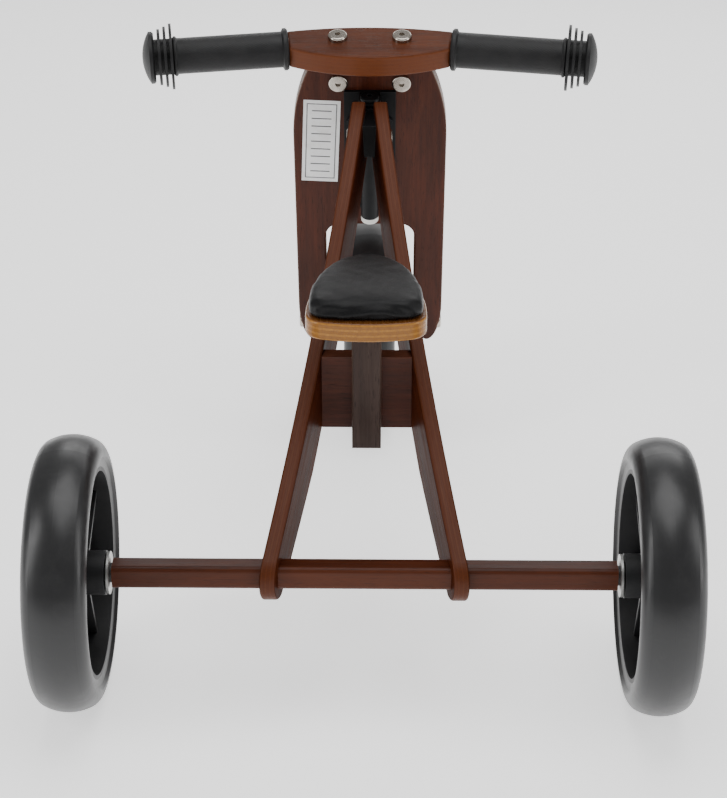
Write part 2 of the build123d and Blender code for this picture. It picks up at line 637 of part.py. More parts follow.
# ---- steering board ------------------------------------------------------------------------
def board_outline():
    """Front view of the board in the upright steering frame."""
    half, top_half, slot = BOARD_WIDTH / 2, BOARD_TOP_WIDTH / 2, SLOT_WIDTH / 2
    leg_middle, leg_half = (half + slot) / 2, (half - slot) / 2
    corner = SLOT_TOP - SLOT_CORNER_RADIUS
    edges = []
    for side in (1, -1):
        leg = EllipticalCenterArc((side * leg_middle, LEG_TAPER_START), leg_half, LEG_TAPER_START + LEG_END,
                                  start_angle=180, arc_size=180)
        edges += [
            leg,
            Line((side * half, LEG_TAPER_START), (side * half, BOARD_SHOULDER)),
            TangentArc((side * half, BOARD_SHOULDER), (side * top_half, BOARD_TOP), tangent=(0, 1)),
            Line((side * slot, LEG_TAPER_START), (side * slot, corner)),
            TangentArc((side * slot, corner), (side * (slot - SLOT_CORNER_RADIUS), SLOT_TOP), tangent=(0, 1)),
        ]
    inner = slot - SLOT_CORNER_RADIUS
    edges += [Line((-inner, SLOT_TOP), (inner, SLOT_TOP)), Line((-top_half, BOARD_TOP), (top_half, BOARD_TOP))]
    face = make_face(edges)
    return fillet(face.vertices().group_by(Axis.Y)[-1], BOARD_TOP_CORNER)


def board():
    """Plywood steering board with its wheel slot and fastener holes."""
    half = BOARD_THICKNESS / 2
    body = Rot(90, 0, 0) * extrude(board_outline(), half, both=True)
    body = fillet(body.faces().filter_by(Axis.Y).edges(), BOARD_EDGE_RADIUS)
    body -= rod_x(AXLE_RADIUS + RUNNING_GAP, -BOARD_WIDTH, BOARD_WIDTH)
    nut_end = half - BARREL_NUT_COVER
    screw_end = BOARD_REAR + BRACKET_SCREW_LENGTH + SCREW_TIP_ROOM
    for side in (-1, 1):
        x = side * BAR_BOLT_SPACING / 2
        body -= rod_x(CAP_NUT_RADIUS + SEAT_GAP, side * LEG_SEAT_X, side * BOARD_WIDTH)
        body -= rod_z(BOLT_RADIUS + RUNNING_GAP, BARREL_NUT_Z - BAR_BOLT_TIP - OVERCUT, BOARD_TOP + OVERCUT, x)
        body -= rod_y(BARREL_NUT_RADIUS + PRESS_GAP, BOARD_REAR - OVERCUT, nut_end, x, BARREL_NUT_Z)
    for x, z in screw_rows():
        body -= rod_y(SCREW_RADIUS + PRESS_GAP, BOARD_REAR - OVERCUT, screw_end, x, z)
    return on_fork(body)


def board_label():
    """Plain paper label on the board's rear face."""
    sheet = Rot(0, -LABEL_TILT, 0) * Box(LABEL_WIDTH, LABEL_THICKNESS, LABEL_HEIGHT)
    return on_fork(Pos(LABEL_CENTRE[0], BOARD_REAR - LABEL_THICKNESS / 2, LABEL_CENTRE[1]) * sheet)


# ---- front axle --------------------------------------------------------------------------
def front_axle():
    """Axle bolt across the legs, its cap nut and the two spacers beside the hub."""
    shank = rod_x(AXLE_RADIUS, -LEG_SEAT_X, LEG_SEAT_X + AXLE_TIP)
    head = Pos(-LEG_SEAT_X, 0, 0) * Rot(0, -90, 0) * domed_head(CAP_NUT_RADIUS, CAP_NUT_HEIGHT)
    cap = Pos(LEG_SEAT_X, 0, 0) * Rot(0, 90, 0) * domed_head(CAP_NUT_RADIUS, CAP_NUT_HEIGHT)
    cap -= rod_x(AXLE_RADIUS + RUNNING_GAP, LEG_SEAT_X - OVERCUT, LEG_SEAT_X + AXLE_TIP + RUNNING_GAP)
    play = FLANGE_THICKNESS + END_PLAY
    spans = ((-SLOT_WIDTH / 2, -HUB_INBOARD - play), (HUB_OUTBOARD + play, SLOT_WIDTH / 2))
    clear = AXLE_RADIUS + RUNNING_GAP
    rings = [rod_x(FLANGE_RADIUS, a, b) - rod_x(clear, a - OVERCUT, b + OVERCUT) for a, b in spans]
    return {
        "front_axle_bolt": on_fork(shank + head),
        "front_axle_nut": on_fork(cap),
        "front_axle_spacers": on_fork(group(*rings)),
    }


def front_wheel():
    """Front wheel between the legs."""
    return {f"front_{name}": on_fork(shape) for name, shape in wheel_parts().items()}


# ---- handlebar ---------------------------------------------------------------------------
def spigot_place(side):
    """Location whose z axis runs out along one end of the handlebar."""
    y = (BAR_FRONT_END - BAR_REAR_END) / 2
    z = BOARD_TOP + BAR_THICKNESS / 2
    return Pos(side * BAR_HALF_LENGTH, y, z) * Rot(0, 0, -side * BAR_SWEEP) * Rot(0, side * 90, 0)


def handlebar():
    """Plywood crosspiece, bulging to the rear, with a round spigot at each end."""
    lean = (BAR_FRONT_END + BAR_REAR_END) / 2 * tan(radians(BAR_SWEEP))
    half_front, half_rear = BAR_HALF_LENGTH + lean, BAR_HALF_LENGTH - lean
    front = ThreePointArc((-half_front, BAR_FRONT_END), (0, BAR_FRONT_CENTRE), (half_front, BAR_FRONT_END))
    rear = ThreePointArc((-half_rear, -BAR_REAR_END), (0, -BAR_REAR_CENTRE), (half_rear, -BAR_REAR_END))
    outline = make_face([front, rear, Line(front @ 0, rear @ 0), Line(front @ 1, rear @ 1)])
    body = Pos(0, 0, BOARD_TOP) * extrude(outline, BAR_THICKNESS)
    body = fillet(body.edges(), BAR_EDGE_ROUNDING)
    spigot = rod_z(SPIGOT_RADIUS, -SPIGOT_ROOT, GRIP_BORE_DEPTH - SEAT_GAP)
    low, high = BOARD_TOP - OVERCUT, BOARD_TOP + BAR_THICKNESS + OVERCUT
    for side in (-1, 1):
        body += spigot_place(side) * spigot
        body -= rod_z(BOLT_RADIUS + RUNNING_GAP, low, high, side * BAR_BOLT_SPACING / 2)
    return on_fork(body)


def grip_outline():
    """(distance from the inner end, radius) of a grip's outer surface."""
    edge = GRIP_EDGE
    collar = GRIP_RADIUS + GRIP_COLLAR
    points = [(0, GRIP_FLANGE_RADIUS - edge), (edge, GRIP_FLANGE_RADIUS),
              (GRIP_FLANGE_THICKNESS - edge, GRIP_FLANGE_RADIUS), (GRIP_FLANGE_THICKNESS, GRIP_RADIUS),
              (GRIP_FIN_START - 3 * edge, GRIP_RADIUS), (GRIP_FIN_START - 2 * edge, collar),
              (GRIP_FIN_START - edge, collar)]
    for index, radius in enumerate(GRIP_FIN_RADII):
        start = GRIP_FIN_START + index * GRIP_FIN_PITCH
        end = start + GRIP_FIN_THICKNESS
        points += [(start, GRIP_RADIUS), (start, radius), (end, radius), (end, GRIP_RADIUS)]
    points += [(GRIP_DOME_START, GRIP_RADIUS), (GRIP_DOME_START, GRIP_DOME_RADIUS - edge),
               (GRIP_DOME_START + edge, GRIP_DOME_RADIUS), (GRIP_DOME_START + GRIP_DOME_RIM, GRIP_DOME_RADIUS)]
    return points


def grip(side):
    """Rubber grip with three hand-stop fins and a domed safety end."""
    points = [(0, 0)] + grip_outline()
    start = GRIP_DOME_START + GRIP_DOME_RIM
    side_line = Polyline(*[(radius, along) for along, radius in points])
    rise = GRIP_LENGTH - start
    ball = (GRIP_DOME_RADIUS ** 2 + rise ** 2) / (2 * rise)
    half_angle = asin(GRIP_DOME_RADIUS / ball) / 2
    middle = (ball * sin(half_angle), GRIP_LENGTH - ball * (1 - cos(half_angle)))
    dome = ThreePointArc((GRIP_DOME_RADIUS, start), middle, (0, GRIP_LENGTH))
    face = make_face([side_line, dome, Line((0, GRIP_LENGTH), (0, 0))])
    body = Rot(90, 0, 0) * revolve(face, Axis.Y, 360)
    body -= rod_z(SPIGOT_RADIUS + PRESS_GAP, -OVERCUT, GRIP_BORE_DEPTH)
    return on_fork(spigot_place(side) * body)


def handlebar_bolts():
    """Bolts down through the handlebar into the board."""
    top = BOARD_TOP + BAR_THICKNESS
    bolt = rod_z(BOLT_RADIUS, BARREL_NUT_Z - BAR_BOLT_TIP, top)
    bolt += Pos(0, 0, top) * domed_head(BOLT_HEAD_RADIUS, BOLT_HEAD_HEIGHT)
    places = [Pos(side * BAR_BOLT_SPACING / 2, 0, 0) for side in (-1, 1)]
    return on_fork(group(*[place * bolt for place in places]))


def barrel_nuts():
    """Flanged barrel nuts that the handlebar bolts screw into."""
    head = Rot(90, 0, 0) * domed_head(BOLT_HEAD_RADIUS, BARREL_NUT_HEAD_HEIGHT)
    nut_end = BOARD_THICKNESS / 2 - BARREL_NUT_COVER - SCREW_TIP_ROOM
    nut = Pos(0, BOARD_REAR, 0) * head + rod_y(BARREL_NUT_RADIUS, BOARD_REAR, nut_end)
    nut -= rod_z(BOLT_RADIUS + RUNNING_GAP, -BOLT_HEAD_RADIUS, BOLT_HEAD_RADIUS)
    places = [Pos(side * BAR_BOLT_SPACING / 2, 0, BARREL_NUT_Z) for side in (-1, 1)]
    return on_fork(group(*[place * nut for place in places]))


# ---- cross plate and seat ------------------------------------------------------------------
def seat_underside():
    """Height of the seat board's underside at its lowest setting, clear of the beams below its nose."""
    return beam_top_z(SEAT_NOSE_Y) + SEAT_ABOVE_BEAMS


def seat_bolt_heights():
    """Rest heights of the two seat clamp bolts."""
    low, high = plate_heights()
    first = (low + high) / 2 - (SEAT_BOLT_SPACING + SEAT_TRAVEL) / 2
    return first, first + SEAT_BOLT_SPACING


def cross_plate(beams):
    """Plywood plate between the beams with the seat's height slot."""
    low, high = plate_heights()
    y0, y1 = CROSS_PLATE_REAR_Y, CROSS_PLATE_REAR_Y + CROSS_PLATE_THICKNESS
    half = beam_x(y0, inner=True) + BEAM_THICKNESS / 2
    body = block(-half, half, y0, y1, low + CROSS_PLATE_SETBACK, high - CROSS_PLATE_SETBACK)
    for side in beams:
        body -= side
    body = body.solids().sort_by(SortBy.VOLUME)[-1]
    first, last = seat_bolt_heights()
    clear = BOLT_RADIUS + SEAT_GAP
    front, back = y1 + OVERCUT, y0 - OVERCUT
    body -= block(-clear, clear, back, front, first, last + SEAT_TRAVEL)
    body -= rod_y(clear, back, front, 0, first)
    body -= rod_y(clear, back, front, 0, last + SEAT_TRAVEL)
    for y, z in plate_screw_places():
        tip = beam_x(y) - SCREW_RECESS - PLATE_SCREW_LENGTH - SCREW_TIP_ROOM
        hole = rod_x(SCREW_RADIUS + PRESS_GAP, tip, beam_x(y), y, z)
        body = body - hole - mirrored(hole)
    return body


def bracket_screw_places():
    """(x, y) of the screws up into the seat base."""
    mid_y = POST_REAR_Y + POST_THICKNESS / 2
    reach_x = SEAT_BRACKET_WIDTH / 2 - SEAT_SCREW_INSET
    reach_y = SEAT_BRACKET_LENGTH / 2 - SEAT_SCREW_INSET
    return [(sx * reach_x, mid_y + sy * reach_y) for sx in (-1, 1) for sy in (-1, 1)]


def post_screw_heights():
    """Heights of the screws through the bracket's tab into the post."""
    top = seat_underside() - SEAT_BRACKET_THICKNESS
    return top - POST_SCREW_FIRST, top - POST_SCREW_SECOND


def seat_post():
    """Plywood post with two blind bores for its threaded inserts."""
    low = plate_heights()[0] - POST_BELOW_PLATE
    top = seat_underside() - SEAT_BRACKET_THICKNESS
    front = POST_REAR_Y + POST_THICKNESS
    body = block(-POST_WIDTH / 2, POST_WIDTH / 2, POST_REAR_Y, front, low, top)
    body = fillet(body.faces().sort_by(Axis.Y)[0].edges(), POST_EDGE_RADIUS)
    insert_end = front - POST_INSERT_LENGTH - SCREW_TIP_ROOM
    for z in seat_bolt_heights():
        body -= rod_y(INSERT_RADIUS + PRESS_GAP, insert_end, front + OVERCUT, 0, z)
    for z in post_screw_heights():
        body -= rod_y(SCREW_RADIUS + PRESS_GAP, front - SEAT_SCREW_LENGTH, front + OVERCUT, 0, z)
    return body


def seat_bracket():
    """Steel top plate under the seat with a tab down the post's front face."""
    mid_y = POST_REAR_Y + POST_THICKNESS / 2
    top = seat_underside()
    low = top - SEAT_BRACKET_THICKNESS
    half_x, half_y = SEAT_BRACKET_WIDTH / 2, SEAT_BRACKET_LENGTH / 2
    body = block(-half_x, half_x, mid_y - half_y, mid_y + half_y, low, top)
    front = POST_REAR_Y + POST_THICKNESS
    half_tab = POST_WIDTH / 2 - OVERCUT
    tab_front = front + SEAT_BRACKET_THICKNESS
    body += block(-half_tab, half_tab, front, tab_front, low - SEAT_TAB_LENGTH, low + OVERCUT)
    for x, y in bracket_screw_places():
        body -= rod_z(SCREW_RADIUS + PRESS_GAP, low - OVERCUT, top + OVERCUT, x, y)
    for z in post_screw_heights():
        body -= rod_y(SCREW_RADIUS + PRESS_GAP, front - OVERCUT, tab_front + OVERCUT, 0, z)
    return body


def seat_screws():
    """Screws that join the bracket to the seat base and to the post."""
    low = seat_underside() - SEAT_BRACKET_THICKNESS
    front = POST_REAR_Y + POST_THICKNESS + SEAT_BRACKET_THICKNESS
    screw = wood_screw(SEAT_SCREW_LENGTH)
    screws = [Pos(x, y, low) * Rot(180, 0, 0) * screw for x, y in bracket_screw_places()]
    screws += [Pos(0, front, z) * Rot(-90, 0, 0) * screw for z in post_screw_heights()]
    return group(*screws)


def seat_clamps():
    """Bolts through the cross plate's slot, their washers and the inserts in the post."""
    plate_front = CROSS_PLATE_REAR_Y + CROSS_PLATE_THICKNESS + SLIDE_GAP
    washer_end = plate_front + CLAMP_WASHER_THICKNESS
    post_front = POST_REAR_Y + POST_THICKNESS
    tip = post_front - POST_INSERT_LENGTH
    clear = BOLT_RADIUS + RUNNING_GAP
    head = Rot(-90, 0, 0) * domed_head(CLAMP_HEAD_RADIUS, CLAMP_HEAD_HEIGHT)
    bolts, washers, inserts = [], [], []
    for z in seat_bolt_heights():
        bore = rod_y(clear, tip - OVERCUT, washer_end + OVERCUT, 0, z)
        bolts.append(rod_y(BOLT_RADIUS, tip + SEAT_GAP, washer_end, 0, z) + Pos(0, washer_end, z) * head)
        washers.append(rod_y(CLAMP_WASHER_RADIUS, plate_front, washer_end, 0, z) - bore)
        inserts.append(rod_y(INSERT_RADIUS, tip, post_front, 0, z) - bore)
    return {"seat_clamp_bolts": group(*bolts), "seat_clamp_washers": group(*washers),
            "seat_post_inserts": group(*inserts)}


def seat_outline(half, nose, corner_y, bow):
    """Plan of the seat or pad: elliptical nose, rear edge bowed back from corner_y."""
    front = EllipticalCenterArc((0, SEAT_WIDEST_Y), half, nose, start_angle=0, arc_size=180)
    sides = [Line((side * half, SEAT_WIDEST_Y), (side * half, corner_y)) for side in (1, -1)]
    rear = ThreePointArc((half, corner_y), (0, corner_y - bow), (-half, corner_y))
    return make_face([front, *sides, rear])


def seat_base():
    """Plywood seat board."""
    outline = seat_outline(SEAT_WIDTH / 2, SEAT_NOSE_LENGTH, SEAT_REAR_Y + SEAT_REAR_BOW, SEAT_REAR_BOW)
    outline = fillet(outline.vertices().sort_by(Axis.Y)[:2], SEAT_CORNER_RADIUS)
    low = seat_underside()
    body = Pos(0, 0, low) * extrude(outline, SEAT_BASE_THICKNESS)
    body = fillet(body.faces().filter_by(Axis.Z).edges(), SEAT_EDGE_RADIUS)
    hole_top = low + SEAT_SCREW_LENGTH - SEAT_BRACKET_THICKNESS + SEAT_GAP
    for x, y in bracket_screw_places():
        body -= rod_z(SCREW_RADIUS + PRESS_GAP, low - OVERCUT, hole_top, x, y)
    return body


def seat_pad():
    """Closed solid of the upholstered pad."""
    top = seat_underside() + SEAT_BASE_THICKNESS
    corner_y = SEAT_REAR_Y + PAD_REAR_INSET + PAD_REAR_BOW
    outline = seat_outline(SEAT_WIDTH / 2 - PAD_INSET, SEAT_NOSE_LENGTH - PAD_INSET, corner_y, PAD_REAR_BOW)
    outline = chamfer(outline.vertices().sort_by(Axis.Y)[:2], PAD_CORNER_CUT)
    body = Pos(0, 0, top) * extrude(outline, PAD_HEIGHT)
    return fillet(body.faces().sort_by(Axis.Z)[-1].edges(), PAD_EDGE_RADIUS)


# ---- whole tricycle ------------------------------------------------------------------------
def all_parts():
    """Every node of the tricycle by name."""
    right = plain_beam()
    raw_beams = (right, mirrored(right))
    finished = beam(square_bar())
    nodes = {
        "beam_right": finished,
        "beam_left": mirrored(finished),
        "cross_plate": cross_plate(raw_beams),
        "cross_plate_screws": plate_screws(),
        "rear_axle_bar": rear_bar(),
        "head_lug": head_lug(raw_beams),
        "head_bushings": head_bushings(),
        "steering_board": board(),
        "board_label": board_label(),
        "steering_bracket": steering_bracket(),
        "steering_bracket_screws": steering_screws(),
        "kingpin": kingpin(),
        "kingpin_cap": kingpin_cap(),
        "handlebar": handlebar(),
        "handlebar_bolts": handlebar_bolts(),
        "handlebar_barrel_nuts": barrel_nuts(),
        "grip_left": grip(-1),
        "grip_right": grip(1),
        "seat_base": seat_base(),
        "seat_pad": seat_pad(),
        "seat_post": seat_post(),
        "seat_bracket": seat_bracket(),
        "seat_bracket_screws": seat_screws(),
    }
    for more in (rear_axle_hardware(), rear_wheels(), cross_bolt(), front_axle(), front_wheel(), seat_clamps()):
        nodes.update(more)
    return nodes


def main():
    os.makedirs("parts", exist_ok=True)
    for name, shape in all_parts().items():
        export_step(shape, f"parts/{name}.step")
        print(name, len(shape.solids()), round(shape.volume, 1))


main()
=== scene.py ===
"""Looks of the children's tricycle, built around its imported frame. Metres, in the frame's own axes."""
import json
import math

import bmesh
import bpy
from mathutils import Euler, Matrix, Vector


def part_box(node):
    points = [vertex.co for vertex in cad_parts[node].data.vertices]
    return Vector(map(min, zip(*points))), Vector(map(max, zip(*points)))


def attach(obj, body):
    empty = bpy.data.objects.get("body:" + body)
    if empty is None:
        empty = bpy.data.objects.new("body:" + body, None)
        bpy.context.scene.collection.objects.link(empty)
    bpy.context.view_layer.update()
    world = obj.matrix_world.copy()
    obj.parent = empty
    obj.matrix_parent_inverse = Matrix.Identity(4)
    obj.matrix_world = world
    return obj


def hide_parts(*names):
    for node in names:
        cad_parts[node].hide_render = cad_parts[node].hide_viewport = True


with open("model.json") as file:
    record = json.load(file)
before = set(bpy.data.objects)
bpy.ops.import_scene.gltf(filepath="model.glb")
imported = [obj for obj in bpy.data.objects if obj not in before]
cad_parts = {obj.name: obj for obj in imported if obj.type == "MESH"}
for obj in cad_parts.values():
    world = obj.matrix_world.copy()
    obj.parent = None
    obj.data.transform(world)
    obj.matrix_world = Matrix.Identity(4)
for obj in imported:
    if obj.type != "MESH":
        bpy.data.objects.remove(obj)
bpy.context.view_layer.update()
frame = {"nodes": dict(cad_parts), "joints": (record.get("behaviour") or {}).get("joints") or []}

MM = 0.001
NODES = frame["nodes"]

# ---- directions and places, from the frame ---------------------------------------------------
STEERING = next(j for j in frame["joints"] if j["name"] == "steering")
ACROSS = Vector((1, 0, 0))
BOARD_UP = Vector(STEERING["axis"]).normalized()
BOARD_OUT = BOARD_UP.cross(ACROSS).normalized()
UP = Vector((0, 0, 1))
FORWARD = Vector((0, 1, 0))

BEAM_LOW, BEAM_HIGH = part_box("beam_right")
BEAM_BOW = 3.3 * MM
BEAM_END_RADIUS = 17 * MM
BEAM_FRONT_X = 13 * MM
BEAM_EDGE_SETBACK = 1 * MM
BOARD_HALF_THICKNESS = 7 * MM
BAR_HALF_LENGTH = 60.5 * MM
BAR_SWEEP = 7
LABEL_TILT = 2.5
LABEL_CLEARANCE = 0.12 * MM
INK_THICKNESS = 0.04 * MM


def middle(node):
    """Middle of a node's box."""
    low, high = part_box(node)
    return (low + high) / 2


# ---- node helpers ------------------------------------------------------------------------
class Shader:
    """A material under construction: short calls add nodes and return their output sockets."""

    def __init__(self, name):
        self.material = bpy.data.materials.new(name)
        self.material.use_nodes = True
        self.tree = self.material.node_tree
        self.surface = self.tree.nodes["Principled BSDF"]

    def node(self, kind, inputs=(), out=0, **settings):
        made = self.tree.nodes.new(kind)
        for key, value in settings.items():
            setattr(made, key, value)
        for key, value in dict(inputs).items():
            self.put(made.inputs[key], value)
        return made.outputs[out]

    def put(self, socket, value):
        if isinstance(value, bpy.types.NodeSocket):
            self.tree.links.new(value, socket)
        else:
            socket.default_value = value

    def set(self, **inputs):
        for key, value in inputs.items():
            self.put(self.surface.inputs[key.replace("_", " ")], value)

    def math(self, operation, a, b=0.0):
        return self.node("ShaderNodeMath", {0: a, 1: b}, operation=operation)

    def place(self):
        return self.node("ShaderNodeTexCoord", out=3)

    def dot(self, vector, direction):
        inputs = {0: vector, 1: tuple(direction)}
        return self.node("ShaderNodeVectorMath", inputs, out=1, operation="DOT_PRODUCT")

    def axes(self, x, y, z):
        return self.node("ShaderNodeCombineXYZ", {0: x, 1: y, 2: z})

    def noise(self, vector, scale, detail=4.0, roughness=0.55, distortion=0.0):
        inputs = {"Vector": vector, "Scale": scale, "Detail": detail, "Roughness": roughness,
                  "Distortion": distortion}
        return self.node("ShaderNodeTexNoise", inputs)

    def ramp(self, value, stops):
        made = self.tree.nodes.new("ShaderNodeValToRGB")
        elements = made.color_ramp.elements
        while len(elements) < len(stops):
            elements.new(0.5)
        for element, (place, color) in zip(elements, stops):
            element.position = place
            element.color = (*color, 1.0) if len(color) == 3 else color
        self.put(made.inputs[0], value)
        return made.outputs[0]

    def level(self, value, low, high, to_low=0.0, to_high=1.0):
        inputs = {"Value": value, "From Min": low, "From Max": high, "To Min": to_low, "To Max": to_high}
        return self.node("ShaderNodeMapRange", inputs, clamp=True)

    def mix(self, share, a, b):
        made = self.tree.nodes.new("ShaderNodeMix")
        made.data_type = "RGBA"
        for index, value in ((0, share), (6, a), (7, b)):
            plain = isinstance(value, tuple) and len(value) == 3
            self.put(made.inputs[index], (*value, 1.0) if plain else value)
        return made.outputs[2]

    def bump(self, height, depth, strength=1.0):
        return self.node("ShaderNodeBump", {"Height": height, "Distance": depth, "Strength": strength})

    def edges(self, reach):
        """1 on convex edges within reach, 0 on open faces."""
        inside = self.node("ShaderNodeAmbientOcclusion", {"Distance": reach}, out=1, inside=True,
                           only_local=True, samples=8)
        return self.level(inside, 0.55, 0.95, 1.0, 0.0)


def use(material, *nodes):
    """Gives CAD nodes this material in every slot."""
    for name in nodes:
        slots = NODES[name].material_slots
        if not slots:
            NODES[name].data.materials.append(material)
        for slot in slots:
            slot.material = material


# ---- wood --------------------------------------------------------------------------------
def wood(name, along, thick, dark, light, ply_light, ply_step=1.6 * MM, ply_from=0.0, bow=None,
         ply_share=0.55, rough=0.36, gloss=0.06):
    """Stained and lacquered plywood: grain along one direction, layers stacked along another."""
    sh = Shader(name)
    place = sh.place()
    side = Vector(along).cross(Vector(thick)).normalized()
    u, v, w = (sh.dot(place, direction) for direction in (along, side, thick))
    if bow:
        centre_x, centre_y, radius = bow
        flat = sh.node("ShaderNodeVectorMath", {0: place, 1: (1, 1, 0)}, operation="MULTIPLY")
        centre = (centre_x, centre_y, 0)
        reach = sh.node("ShaderNodeVectorMath", {0: flat, 1: centre}, out=1, operation="DISTANCE")
        w = sh.math("SUBTRACT", reach, radius)
    # growth figure: broad flames, fine streaks and short dark pores, all drawn out along the grain
    flame = sh.noise(sh.axes(sh.math("MULTIPLY", u, 0.16), v, w), 46.0, 3.0, 0.5, 1.6)
    streak = sh.noise(sh.axes(sh.math("MULTIPLY", u, 0.035), v, w), 420.0, 5.0, 0.62)
    pore = sh.noise(sh.axes(sh.math("MULTIPLY", u, 0.07), v, w), 1500.0, 1.0, 0.5)
    cloud = sh.noise(place, 9.0, 2.0, 0.5)
    figure = sh.math("ADD", sh.math("MULTIPLY", flame, 0.5), sh.math("MULTIPLY", streak, 0.5))
    between = tuple((a + b) / 2 for a, b in zip(dark, light))
    color = sh.ramp(figure, [(0.34, dark), (0.52, between), (0.68, light)])
    color = sh.mix(sh.level(cloud, 0.35, 0.7, 0.0, 0.35), color, tuple(c * 0.62 for c in dark))
    pores = sh.level(pore, 0.60, 0.70)
    color = sh.mix(sh.math("MULTIPLY", pores, 0.55), color, tuple(c * 0.35 for c in dark))
    # plywood layers: every second one shows lighter end grain, with a dark glue line between
    step = sh.math("DIVIDE", sh.math("SUBTRACT", w, ply_from), ply_step)
    wave = sh.math("FRACT", sh.math("MULTIPLY", step, 0.5))
    band = sh.math("LESS_THAN", wave, 0.5)
    line = sh.math("ABSOLUTE", sh.math("SUBTRACT", sh.math("FRACT", step), 0.5))
    glue = sh.level(line, 0.43, 0.49)
    flat_face = sh.node("ShaderNodeTexCoord", out=1)
    if bow:
        turn = sh.math("ABSOLUTE", sh.dot(flat_face, ACROSS))
    else:
        turn = sh.math("ABSOLUTE", sh.dot(flat_face, thick))
    edge_face = sh.level(turn, 0.55, 0.85, 1.0, 0.0)
    layered = sh.mix(band, tuple((a + b) / 2 for a, b in zip(light, ply_light)), ply_light)
    layered = sh.mix(sh.level(streak, 0.35, 0.7, 0.0, 0.6), layered, light)
    layered = sh.mix(sh.math("MULTIPLY", glue, 0.6), layered, tuple(c * 0.8 for c in dark))
    color = sh.mix(sh.math("MULTIPLY", edge_face, ply_share), color, layered)
    # painted highlight along the rounded arrises, partly stain rubbed thin: paler colour laid on the convex
    # edges
    worn = sh.math("MULTIPLY", sh.edges(1.6 * MM), sh.level(sh.noise(place, 160.0), 0.35, 0.75, 0.0, 0.35))
    color = sh.mix(worn, color, ply_light)
    height = sh.math("SUBTRACT", sh.math("MULTIPLY", streak, 0.5), sh.math("MULTIPLY", pores, 0.7))
    height = sh.math("SUBTRACT", height, sh.math("MULTIPLY", sh.math("MULTIPLY", glue, edge_face), 0.6))
    roughness = sh.level(streak, 0.3, 0.75, rough - 0.06, rough + 0.14)
    sh.set(Base_Color=color, Roughness=roughness, Normal=sh.bump(height, 0.12 * MM, 0.55))
    shine = sh.level(edge_face, 0.0, 1.0, 0.008, 0.14) if bow else 0.14
    sh.set(Coat_Weight=gloss, Coat_Roughness=0.18, Specular_IOR_Level=shine)
    return sh.material


def bow_circle(side):
    """Centre (x, y) and radius of one beam's bowed outer face, seen from above."""
    rear = Vector((BEAM_HIGH.x - BEAM_EDGE_SETBACK, BEAM_LOW.y + BEAM_END_RADIUS))
    front = Vector((BEAM_FRONT_X, BEAM_HIGH.y))
    run = front - rear
    radius = (run.length ** 2 / 4 + BEAM_BOW ** 2) / (2 * BEAM_BOW)
    centre = (rear + front) / 2 + Vector((run.y, -run.x)).normalized() * (radius - BEAM_BOW)
    return side * centre.x, centre.y, radius


def beam_material(side):
    """Beam of bent layers, with its grain along the beam."""
    low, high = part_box("beam_right")
    slope = Vector((0, high.y - low.y, high.z - low.z - 30 * MM)).normalized()
    name = "beam wood right" if side > 0 else "beam wood left"
    return wood(name, slope, ACROSS, dark=(0.030, 0.0066, 0.0026), light=(0.080, 0.0190, 0.0066),
                ply_light=(0.105, 0.0290, 0.0090), ply_step=1.43 * MM, bow=bow_circle(side), ply_share=0.8,
                gloss=0.0)


def wood_materials():
    """Every wooden node gets wood that runs the way its own grain does."""
    use(beam_material(1), "beam_right")
    use(beam_material(-1), "beam_left")
    board_back = middle("steering_board").dot(BOARD_OUT) - BOARD_HALF_THICKNESS
    board = wood("board wood", BOARD_UP, BOARD_OUT,
                 dark=(0.040, 0.0090, 0.0044), light=(0.092, 0.0225, 0.0095),
                 ply_light=(0.19, 0.115, 0.075), ply_step=1.56 * MM, ply_from=board_back, ply_share=0.75)
    use(board, "steering_board")
    bar = wood("handlebar wood", ACROSS, BOARD_UP,
               dark=(0.054, 0.0125, 0.0038), light=(0.130, 0.0330, 0.0090),
               ply_light=(0.155, 0.043, 0.0110), ply_step=1.7 * MM, ply_share=0.6)
    use(bar, "handlebar")
    axle = wood("axle bar wood", ACROSS, UP, dark=(0.036, 0.0078, 0.0030), light=(0.098, 0.0235, 0.0078),
                ply_light=(0.112, 0.030, 0.0100), ply_step=2.0 * MM, ply_share=0.35)
    use(axle, "rear_axle_bar")
    plate = wood("cross plate wood", ACROSS, FORWARD,
                 dark=(0.052, 0.0135, 0.0072), light=(0.115, 0.0310, 0.0150),
                 ply_light=(0.150, 0.055, 0.026), ply_step=1.5 * MM, ply_share=0.6)
    use(plate, "cross_plate")
    post = wood("post wood", UP, FORWARD, dark=(0.042, 0.0240, 0.0185), light=(0.080, 0.050, 0.040),
                ply_light=(0.14, 0.095, 0.070), ply_step=1.5 * MM, ply_share=0.7)
    use(post, "seat_post")
    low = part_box("seat_base")[0].z
    seat = wood("seat wood", FORWARD, UP, dark=(0.095, 0.032, 0.0075), light=(0.185, 0.068, 0.0150),
                ply_light=(0.44, 0.200, 0.040), ply_step=1.86 * MM, ply_from=low, ply_share=0.95, rough=0.24,
                gloss=0.25)
    use(seat, "seat_base")


